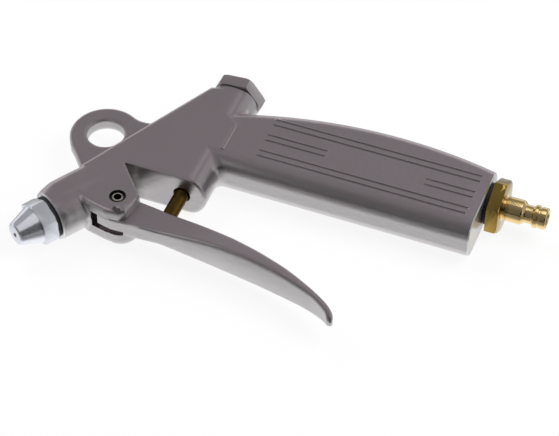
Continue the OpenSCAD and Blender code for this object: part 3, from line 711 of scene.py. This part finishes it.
def lever_shape(x, y, z):
    """A bar along the spine that is widest under the fingers, and wider below than on top."""
    knots = spine_at(SPINE_T[:, None])
    tangent = np.gradient(knots, axis=0)
    tangent /= np.linalg.norm(tangent, axis=1)[:, None]
    flat = np.stack([np.ravel(x), np.ravel(y)], 1)
    found = nearest_on_spine(flat, knots)
    rel = flat - knots[found]
    along = (rel * tangent[found]).sum(1)
    normal = np.stack([-tangent[found][:, 1], tangent[found][:, 0]], 1)
    up = (rel * normal).sum(1).reshape(x.shape)
    along = along.reshape(x.shape)
    found = found.reshape(x.shape)
    t = SPINE_T[found]
    half = np.interp(t, [0, .16, .21, .31, .46, .65, .8, .93, .98, 1],
        LEVER_HIGH / 2 * np.array([1, .84, .79, .76, .62, .4, .22, .2, .18, .14]))
    wide_at = [0, .2, .28, .37, .45, .54, .65, .79, .92, .97, 1]
    base = np.interp(t, wide_at, [6.1, 6.1, 8.2, 10.4, 11.8, 12.4, 11.9, 9.5, 6.2, 4.7, 2.5])
    crest = np.interp(t, wide_at, [6.1, 6.1, 6.7, 7.9, 9.1, 9.8, 9.8, 8.1, 5.5, 4.1, 2.2])
    v = np.clip(up / half, -1.4, 1.4)
    wide = (base + crest) / 4 - v * (base - crest) / 4
    crown = 0.35 * np.clip(half / 3, 0, 1) * (z / 6.0) ** 2 * ease(.15, .4, t)
    soft = 0.35 + 0.95 * ease(0.08, 0.32, t)
    edge = np.minimum(np.minimum(soft, half * 0.8), wide * 0.8)
    section = rounded_max(np.abs(up) - half + crown * (up < 0), np.abs(z) - wide, edge)
    ends = np.where(found == 0, -along, 0) + np.where(found == len(knots) - 1, along, 0)
    return np.where(ends > 0, np.hypot(np.maximum(section, 0), ends), section)


def lever_casting(x, y, z):
    """The lever with its hub and heel, set a little towards the near ear."""
    z = z - LEVER_SHIFT
    hub = rounded_max(np.hypot(x, y) - HUB_R, np.abs(z) - WEB_HALF, 0.4)
    heel = rounded_max(outline(x, y, [(-5.0, -6.2), (-1.4, -7.0), (3.0, -6.8), (3.0, 0), (-5.0, 0)]),
        np.abs(z) - WEB_HALF, 0.5)
    return fillet(np.minimum(hub, heel), lever_shape(x, y, z), 0.8)


lever = cast_skin("cast_lever", lever_casting, (-8, -25, -7), (87, 8, 9), 0.45)
machine(lever, [
    bar("relief_cut", [(-9, -10), (6.2, -10), (3.4, -4.6), (-9, -4.6)], -4, -0.7, AT_PIVOT, THROUGH,
        ALONG_GRIP),
    lathe("bore_cut", [(-9, 0), (-9, 2.05), (9, 2.05), (9, 0)], AT_PIVOT, THROUGH)])
soften(lever, CAST_CREASE)
finish_piece(lever, coat, "lever", "trigger_lever")


# THE PIVOT PIN
# A spring pin rolled from plated steel strip. It is pressed through both ears, sits a little
# below their faces and shows its slit and its open bore.
def eased(profile, radius):
    """The same closed profile with its corners rounded off."""
    rounded = []
    for k, corner in enumerate(profile):
        corner = np.array(corner, float)
        if corner[1] < ON_AXIS:
            rounded.append(tuple(corner))
            continue
        ends = []
        for other in (profile[k - 1], profile[(k + 1) % len(profile)]):
            way = np.array(other) - corner
            length = np.hypot(*way)
            ends.append(corner + way / length * min(radius, 0.45 * length))
        for t in (0, 1 / 3, 2 / 3, 1):
            rounded.append(tuple((1 - t) ** 2 * ends[0] + 2 * t * (1 - t) * corner + t * t * ends[1]))
    return rounded


PIN_CREASE = 40
pin = lathe("spring_pin", eased([(-7.7, 1.3), (-7.7, 1.8), (-7.3, 2.0), (7.3, 2.0), (7.7, 1.8),
    (7.7, 1.3)], 0.12), AT_PIVOT, THROUGH, 64)
machine(pin, [bar("slit_cut", [(0, -0.2), (3, -0.2), (3, 0.2), (0, 0.2)], -9, 9, AT_PIVOT, THROUGH,
    (*heading(35), 0))])
soften(pin, PIN_CREASE)
oiled_steel = Finish("oiled_steel")
# Painted shade: the inside of the pin's bore is painted near black.
inside = oiled_steel.within(1.36, AT_PIVOT)
oiled_steel.set(
    Base_Color=oiled_steel.mix(inside, srgb(206, 200, 184), (0.02, 0.018, 0.015, 1)),
    Metallic=0.9,
    Roughness=0.3 + 0.1 * oiled_steel.noise(800.0),
    Normal=oiled_steel.bump(oiled_steel.noise(1500.0), 0.00001))
finish_piece(pin, oiled_steel, "gun", "pivot_pin")


# THE NOZZLE
# Turned from plated steel bar: a hexagon for the spanner, a blunt cone with fine turning marks
# and a small outlet. Behind the hexagon it screws into the front boss.
def hexagon(across_flats, first_side):
    """Corners of a hexagon; the first side faces this many degrees round."""
    corner = across_flats / math.sqrt(3)
    return [(corner * math.cos(a), corner * math.sin(a))
        for a in (math.radians(first_side + 30 + 60 * k) for k in range(6))]


def round_edges(piece, width):
    """Small round edges where faces meet at more than 25 degrees."""
    modifier = piece.modifiers.new("edges", "BEVEL")
    modifier.width = width / 1000
    modifier.segments = 2
    modifier.limit_method = "ANGLE"
    modifier.angle_limit = math.radians(25)
    keep_result(piece, modifier)


steel = Finish("zinc_plated_steel")
marks = steel.turning_marks(steel.dot(steel.position(), BACKWARD), 9000.0, 500.0)
bloom = steel.noise(350.0, 3.0, 0.6)
steel.set(
    Base_Color=steel.mix(bloom, srgb(234, 237, 248), srgb(246, 248, 254)),
    Metallic=0.85,
    Roughness=0.08 + 0.08 * bloom,
    Normal=steel.bump(marks + 0.3 * bloom, 0.00002))
TURNED_CREASE = 18
nozzle = bar("nozzle_hexagon", hexagon(14.0, 34.7), 1.1, 6.2, BOSS_FACE, FORWARD, (0, 0, -1))
machine(nozzle, [lathe("corner_cut", [(1.1, 0), (1.1, 7.5), (6.8, 13.2), (6.8, 0)], BOSS_FACE,
    FORWARD)], "INTERSECT")
round_edges(nozzle, 0.15)
machine(nozzle, [lathe("nozzle_cone", eased([(-8, 0), (-8, 5.4), (-7.5, 5.9), (-1.6, 5.9),
    (-1.6, 5.1), (1.3, 5.1), (1.3, 6.6), (6.1, 6.6), (6.25, 6.7), (13.3, 4.1), (13.8, 3.6),
    (13.8, 0)], 0.15), BOSS_FACE, FORWARD, 128)], "UNION")
machine(nozzle, [lathe("nozzle_bore", [(-9, 0), (-9, 3), (6.2, 3), (10, 0.8), (13.5, 0.8),
    (14.2, 1.5), (14.2, 0)], BOSS_FACE, FORWARD, 48)])
soften(nozzle, TURNED_CREASE)
finish_piece(nozzle, steel, "gun", "nozzle")


# THE SEAL RINGS
# Black rubber washers, squeezed between the body and the nozzle, the valve cap and the plug.
# They are cut flat, with edges that the squeeze has rounded.
rubber = Finish("black_rubber")
bloom = rubber.noise(700.0, 3.0)
rubber.set(
    Base_Color=rubber.mix(bloom, (0.012, 0.012, 0.014, 1), (0.03, 0.03, 0.034, 1)),
    Roughness=0.5 + 0.2 * bloom,
    Normal=rubber.bump(bloom, 0.00003))


RING_EDGE, RING_CREASE = 0.25, 50


def seal_ring(name, inner, outer, start, end, centre, axis, node):
    ring = lathe(name, eased([(start, inner), (start, outer), (end, outer), (end, inner)],
        RING_EDGE), centre, axis)
    soften(ring, RING_CREASE)
    finish_piece(ring, rubber, "gun", node)


seal_ring("nozzle_washer", 5.2, 7.35, 0.05, 1.05, BOSS_FACE, FORWARD, "nozzle_seal_ring")
seal_ring("cap_washer", 6.7, 7.6, CAP_FACE - 0.38, CAP_FACE - 0.03, VALVE_AXIS, ALONG_VALVE,
    "cap_seal_ring")
seal_ring("plug_washer", 5.7, 7.1, 0.05, 1.55, (END_FACE, INLET_Y, 0), ALONG_GRIP,
    "inlet_seal_ring")


# THE VALVE CAP
# A hexagon cap with the body's coat, screwed into the top of the valve boss. Its corners are
# worn smooth, and a pocket inside holds the valve spring.
CAP_END, HEXAGON_TURN = CAP_FACE + 4.6, 25
cap = bar("valve_cap_hexagon", hexagon(17.0, HEXAGON_TURN), CAP_FACE, CAP_END, VALVE_AXIS,
    ALONG_VALVE, ALONG_GRIP)
machine(cap, [lathe("corner_cut", [(CAP_FACE, 0), (CAP_FACE, 9.55), (CAP_FACE + 0.4, 9.9),
    (CAP_FACE + 4.1, 9.9), (CAP_END, 9.1), (CAP_END, 0)], VALVE_AXIS, ALONG_VALVE)], "INTERSECT")
round_edges(cap, 0.35)
machine(cap, [lathe("cap_screw", [(CAP_FACE - 6.2, 0), (CAP_FACE - 6.2, 6.2),
    (CAP_FACE - 5.8, 6.6), (CAP_FACE + 1, 6.6), (CAP_FACE + 1, 0)], VALVE_AXIS, ALONG_VALVE)], "UNION")
machine(cap, [lathe("cap_pocket", [(CAP_FACE - 7, 0), (CAP_FACE - 7, 4.9), (CAP_FACE + 2.4, 4.9),
    (CAP_FACE + 2.4, 0)], VALVE_AXIS, ALONG_VALVE)])
soften(cap, TURNED_CREASE)
finish_piece(cap, coat, "gun", "valve_cap")


# THE VALVE
# A turned brass stem with a domed foot that the lever pushes. Inside the body it carries the
# disc seal and the spring seat, and runs through two brass bushes and a rubber ring.
PLUG_SEAT, PLUG_HEXAGON_LONG = GRIP_END + 1.7, 4.6
brass = Finish("turned_brass")
tarnish = brass.noise(260.0, 3.0, 0.6)
marks = brass.turning_marks(brass.place("X"), 14000.0, 700.0)
on_nipple = brass.place("X").maths("GREATER_THAN",
    (PLUG_SEAT + PLUG_HEXAGON_LONG + 0.02 + PIVOT[0]) / 1000)
# Painted shade and painted light: the hexagon is painted as a darker, shaded copy of the brass and the
# nipple as a brighter, lit copy. The nipple shows fine turning marks.
shaded_hexagon_brass = brass.mix(tarnish, (0.42, 0.27, 0.06, 1), (0.50, 0.34, 0.09, 1))
lit_nipple_brass = brass.mix(tarnish, (0.86, 0.62, 0.26, 1), (0.96, 0.74, 0.38, 1))
brass.set(
    Base_Color=brass.mix(on_nipple, shaded_hexagon_brass, lit_nipple_brass),
    Metallic=1.0,
    Roughness=0.04 + 0.07 * tarnish,
    Normal=brass.bump(marks * on_nipple + 0.5 * tarnish, 0.000015))
DOME_R, STEM_FOOT, STEM_CREASE = 4, 2.93, 35
dome = [(STEM_FOOT + DOME_R - DOME_R * math.cos(a), DOME_R * math.sin(a))
    for a in np.linspace(0, math.asin(2.35 / DOME_R), 7)]
stem = lathe("brass_stem", dome + [(4.1, 2.5), (32.8, 2.5), (32.8, 1.8), (46.65, 1.8),
    (46.65, 3.1), (48.05, 3.1), (48.05, 1.5), (53.25, 1.5), (53.25, 0)], VALVE_AXIS, ALONG_VALVE, 64)
soften(stem, STEM_CREASE)
# The stem's brass is much darker than the plug's, in blotches.
dark_stem_brass = Finish("dark_stem_brass")
stem_blotches = dark_stem_brass.noise(400.0, 3.0, 0.6)
dark_stem_brass.set(
    Base_Color=dark_stem_brass.mix(stem_blotches, (0.09, 0.052, 0.012, 1), (0.24, 0.15, 0.04, 1)),
    Metallic=1.0,
    Roughness=0.2 + 0.15 * stem_blotches,
    Normal=dark_stem_brass.bump(stem_blotches, 0.00002))
finish_piece(stem, dark_stem_brass, "valve", "valve_stem")
for node, finish in (("lower_guide_bush", brass), ("upper_guide_bush", brass), ("spring_seat", brass),
        ("disc_seal", rubber), ("stem_seal_ring", rubber)):
    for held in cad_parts[node].material_slots:
        held.material = finish.material


# THE INLET PLUG
# Turned from brass: a hexagon, then a nipple with a collar, a locking groove and a thin rib
# that a hose coupling snaps onto. It screws into the end of the grip.
INLET = (0, INLET_Y, 0)
PLUG_HEXAGON_END = PLUG_SEAT + PLUG_HEXAGON_LONG
plug = bar("plug_hexagon", hexagon(17.0, HEXAGON_TURN), PLUG_SEAT + 0.4, PLUG_HEXAGON_END, INLET,
    ALONG_GRIP, (0, 0, -1))
machine(plug, [lathe("corner_cut", [(PLUG_SEAT, 0), (PLUG_SEAT + 0.4, 9.75),
    (PLUG_SEAT + 0.55, 9.9), (PLUG_SEAT + 3.7, 9.9), (PLUG_HEXAGON_END, 9.0),
    (PLUG_HEXAGON_END, 0)], INLET, ALONG_GRIP)], "INTERSECT")
round_edges(plug, 0.15)
nipple = [(-10.7, 0), (-10.7, 6.0), (-10.3, 6.4), (-3.2, 6.4), (-3.2, 5.6), (0.7, 5.6), (4.55, 5.4),
    (4.7, 3.7), (5.2, 3.7), (5.25, 3.9), (5.45, 4.2), (10.8, 4.2), (11.1, 4.1), (12.0, 3.2),
    (12.3, 3.1), (14.5, 3.1), (15.2, 3.9), (15.5, 3.95), (16.4, 3.95), (16.5, 3.85), (16.5, 3.4),
    (17.1, 3.4), (17.1, 3.6), (17.25, 3.7), (19.1, 3.7), (19.5, 3.35), (19.5, 0)]
machine(plug, [lathe("nipple", eased([(PLUG_SEAT + x, r) for x, r in nipple], 0.1), INLET,
    ALONG_GRIP, 128)], "UNION")
machine(plug, [lathe("plug_bore", [(PLUG_SEAT - 11, 0), (PLUG_SEAT - 11, 2.4),
    (PLUG_SEAT + 19.1, 2.4), (PLUG_SEAT + 19.8, 3.1), (PLUG_SEAT + 19.8, 0)], INLET, ALONG_GRIP, 64)])
soften(plug, TURNED_CREASE)
finish_piece(plug, brass, "gun", "inlet_plug")


# THE VALVE SPRING
# A steel compression spring between the cap and the spring seat, with closed end turns. A node
# tree bends a straight line into its coils.
coils = Rule("coil_spring", [("Turns", "NodeSocketFloat"), ("Coil Radius", "NodeSocketFloat"),
    ("Wire Radius", "NodeSocketFloat"), ("Length", "NodeSocketFloat"), ("Foot", "NodeSocketVector"),
    ("Material", "NodeSocketMaterial")])
turns, wire, coil_length = (coils.given[k] for k in ("Turns", "Wire Radius", "Length"))
line = coils.node("GeometryNodeResampleCurve", {}, {
    0: coils.node("GeometryNodeCurvePrimitiveLine"), "Count": turns * 30.0})
passed = coils.node("GeometryNodeSplineParameter") * turns
angle = passed * (2 * math.pi)
# The first and the last turn are closed: each rises by little more than the wire is thick.
closed_pitch = 2.0 * wire + 0.00005
closed = passed.maths("MINIMUM", 1.0) + (passed - turns + 1.0).maths("MAXIMUM", 0.0)
working = (passed - 1.0).maths("MAXIMUM", 0.0).maths("MINIMUM", turns - 2.0) / (turns - 2.0)
rise = wire + closed * closed_pitch + working * (coil_length - 2.0 * wire - 2.0 * closed_pitch)
bent = coils.node("ShaderNodeCombineXYZ", {}, [angle.maths("COSINE") * coils.given["Coil Radius"],
    rise, -1.0 * angle.maths("SINE") * coils.given["Coil Radius"]])
bent = coils.node("ShaderNodeVectorMath", {"operation": "ADD"}, [bent, coils.given["Foot"]])
line = coils.node("GeometryNodeSetPosition", {}, {0: line, "Position": bent})
swept = coils.node("GeometryNodeCurveToMesh", {}, {0: line,
    "Profile Curve": coils.node("GeometryNodeCurvePrimitiveCircle", {},
        {"Resolution": 12, "Radius": wire}), "Fill Caps": True})
swept = coils.node("GeometryNodeRealizeInstances", {}, [swept])
swept = coils.node("GeometryNodeSetMaterial", {}, {0: swept, "Material": coils.given["Material"]})
coils.node("NodeGroupOutput", {}, [swept], None)
SPRING_FOOT, SPRING_TOP, SPRING_CREASE = 51.1, CAP_FACE + 2.3, 40
spring = build_mesh("steel_spring", [(0, 0, 0)], [])
coils.make(spring, {"Turns": 7.0, "Coil Radius": 0.0037, "Wire Radius": 0.00045,
    "Length": (SPRING_TOP - SPRING_FOOT) / 1000,
    "Foot": to_frame((VALVE_X, SPRING_FOOT, 0)), "Material": steel.material})
face_outwards(spring)
soften(spring, SPRING_CREASE)
finish_piece(spring, steel, "gun", "valve_spring")
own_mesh(spring)


# THE TABLE AND THE LIGHT
# The tool lies on a white table, under two wide soft lamps. The table shows as plain white, and
# the metal shows it too, with a grey room that has a dark doorway and two windows, and two small
# bright cards above the nozzle and the plug.
lowest = cad_box[0][2]
table_mesh = bpy.data.meshes.new("table")
table_mesh.from_pydata([(-3, -3, lowest), (3, -3, lowest), (3, 3, lowest), (-3, 3, lowest)], [],
    [(0, 1, 2, 3)])
table = bpy.data.objects.new("table", table_mesh)
bpy.context.scene.collection.objects.link(table)
paper = Finish("white_table")
paper.set(Base_Color=(0.9, 0.9, 0.9, 1), Roughness=0.6)
seen, glossy, through = (paper.node("ShaderNodeLightPath", output=ray)
    for ray in ("Is Camera Ray", "Is Glossy Ray", "Is Transmission Ray"))
slant = paper.node("ShaderNodeLayerWeight", {}, {"Blend": 0.5}, "Facing")
white = paper.node("ShaderNodeMixShader", {}, {0: glossy * paper.fade(slant, 0.08, 0.6, 0.0, 0.85),
    1: paper.node("ShaderNodeEmission", {}, {"Color": (1, 1, 1, 1), "Strength": 1.0}),
    2: paper.node("ShaderNodeBsdfGlossy", {}, {"Color": (1, 1, 1, 1), "Roughness": 0.2})})
shown = paper.node("ShaderNodeMixShader", {}, {
    0: (0.9 * seen + glossy).maths("MAXIMUM", through),
    1: Wire(paper, paper.shader.outputs[0]), 2: white})
paper.join(shown, paper.tree.nodes["Material Output"].inputs["Surface"])
table.data.materials.append(paper.material)

room = bpy.data.worlds.new("room")
bpy.context.scene.world = room
room.use_nodes = True
walls = Finish(room)
look = walls.node("ShaderNodeTexCoord", output="Generated")
depth, height = (walls.node("ShaderNodeSeparateXYZ", {}, [look], axis) for axis in ("Y", "Z"))
# How bright the room is in each direction, as the metal shows it.
walls_grey = walls.fade(height, -0.05, 0.42, 1.0, 0.245)
behind_camera = walls.fade(depth, 0.1, -0.75, 1.0, 0.55)
doorway = walls.fade(walls.dot(look, (0.622, -0.768, 0.156)), 0.72, 0.88, 1.0, 0.03)
dark_corner = walls.fade(walls.dot(look, (-0.2, -0.98, 0.0)), 0.9, 0.985, 0.0, 1.0)
low = walls.fade(height, 0.1, 0.5, 1.0, 0.0)
window = walls.fade(walls.dot(look, (0.82, 0.42, 0.38)), 0.76, 0.94, 0.0, 1.0)
side_window = walls.fade(walls.dot(look, (0.05, 0.66, 0.75)), 0.984, 0.998, 0.0, 1.0)
brightness = walls_grey * behind_camera * doorway * (1 - 0.9 * low * dark_corner)
brightness = brightness * (1 - window) + 0.4 * window
brightness = brightness * (1 - side_window) + 0.6 * side_window
above_table = height.maths("GREATER_THAN", 0.0)
seen_room = walls.node("ShaderNodeLightPath", output="Is Camera Ray")
walls.set(Color=seen_room + (1 - seen_room) * (brightness * above_table + (1 - above_table)))


def area_lamp(name, spot, size, power):
    """A square lamp that shines straight down."""
    light = bpy.data.lights.new(name, "AREA")
    light.size = size
    light.energy = power
    lamp = bpy.data.objects.new(name, light)
    lamp.location = to_frame(spot)
    bpy.context.scene.collection.objects.link(lamp)
    return lamp


LAMP_AIM = (50, 20, 0)
for lamp in (area_lamp("key_lamp", (600, 120, 700), 0.6, 7.0),
        area_lamp("fill_lamp", (-500, 250, 600), 0.6, 4.0)):
    lamp.rotation_euler = (to_frame(LAMP_AIM) - lamp.location).to_track_quat("-Z", "Y").to_euler()
    lamp.visible_glossy = False
for card in (area_lamp("nozzle_card", (-28, -42, 62), 0.06, 0.0045),
        area_lamp("plug_card", (131, 63, 50), 0.03, 0.0028)):
    card.visible_camera = False
    card.visible_diffuse = False
bpy.context.scene.view_settings.view_transform = "Standard"
